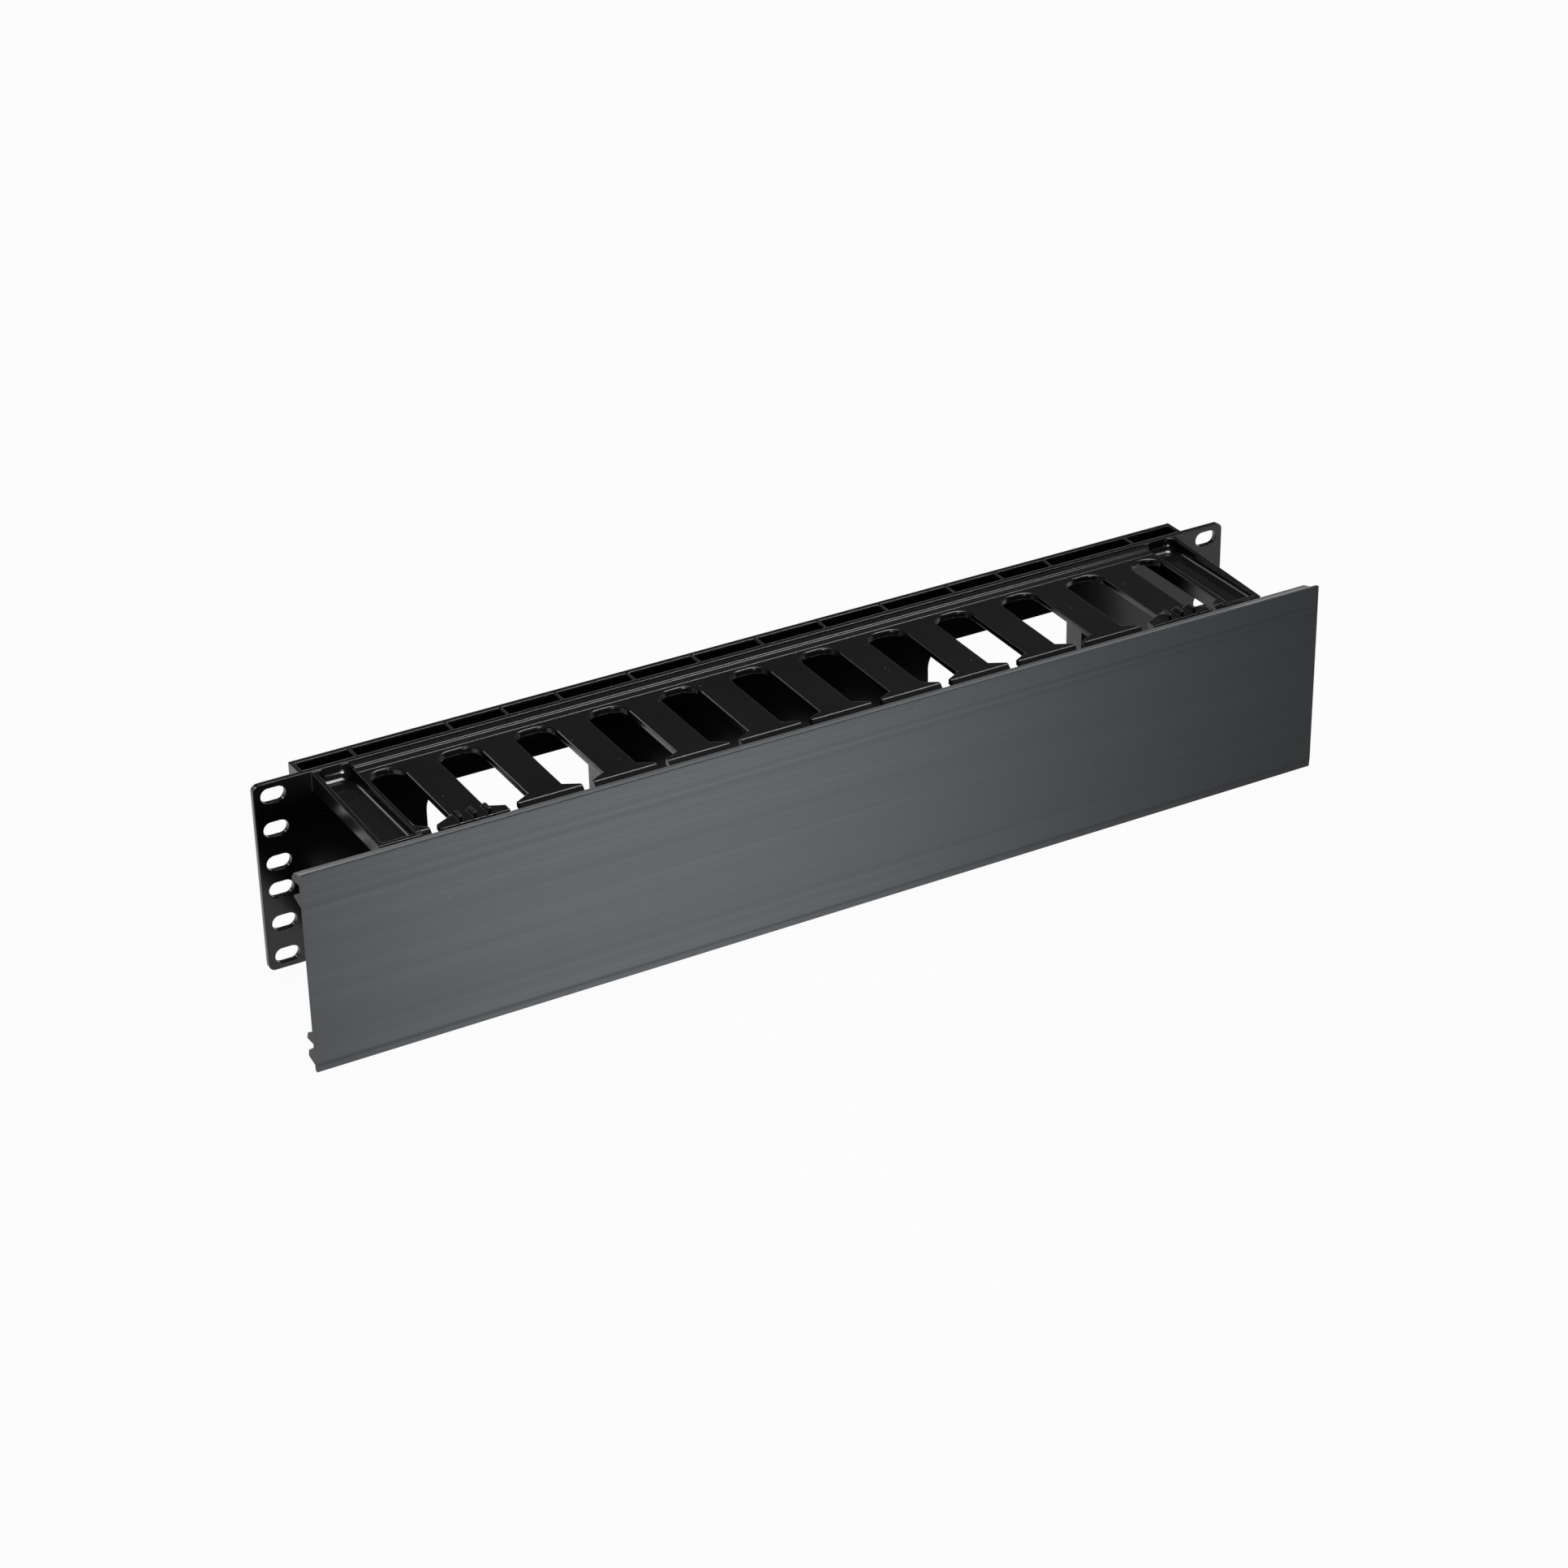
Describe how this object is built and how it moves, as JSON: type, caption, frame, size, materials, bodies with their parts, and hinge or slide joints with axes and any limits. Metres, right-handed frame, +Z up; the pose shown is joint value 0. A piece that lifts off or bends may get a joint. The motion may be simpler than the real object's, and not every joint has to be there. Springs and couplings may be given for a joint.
{
  "type": "horizontal cable manager",
  "caption": "Rack-mount horizontal cable duct: a moulded base with rows of flared fingers and pass-through windows, closed by a clip-on hinged front cover.",
  "frame": {"origin": "centre of the rack slot pattern, on the rear face of the ears, which meets the rack posts", "axes": "+X to the right along the rack width, +Y to the rear of the rack, +Z up; the cover faces -Y"},
  "size_m": [0.4961, 0.0925, 0.091],
  "materials": {
    "moulded_plastic": "semi-gloss moulded black",
    "extruded_plastic": "satin extruded black"
  },
  "bodies": {
    "base": {"base": "moulded_plastic"},
    "cover": {"front_cover": "extruded_plastic"}
  },
  "joints": [
    {"name": "cover_hinge", "type": "hinge", "parent": "base", "child": "cover", "pos_m": [0, -0.0742, 0.0409], "axis": [-1, 0, 0], "range_deg": [0, 90]}
  ]
}
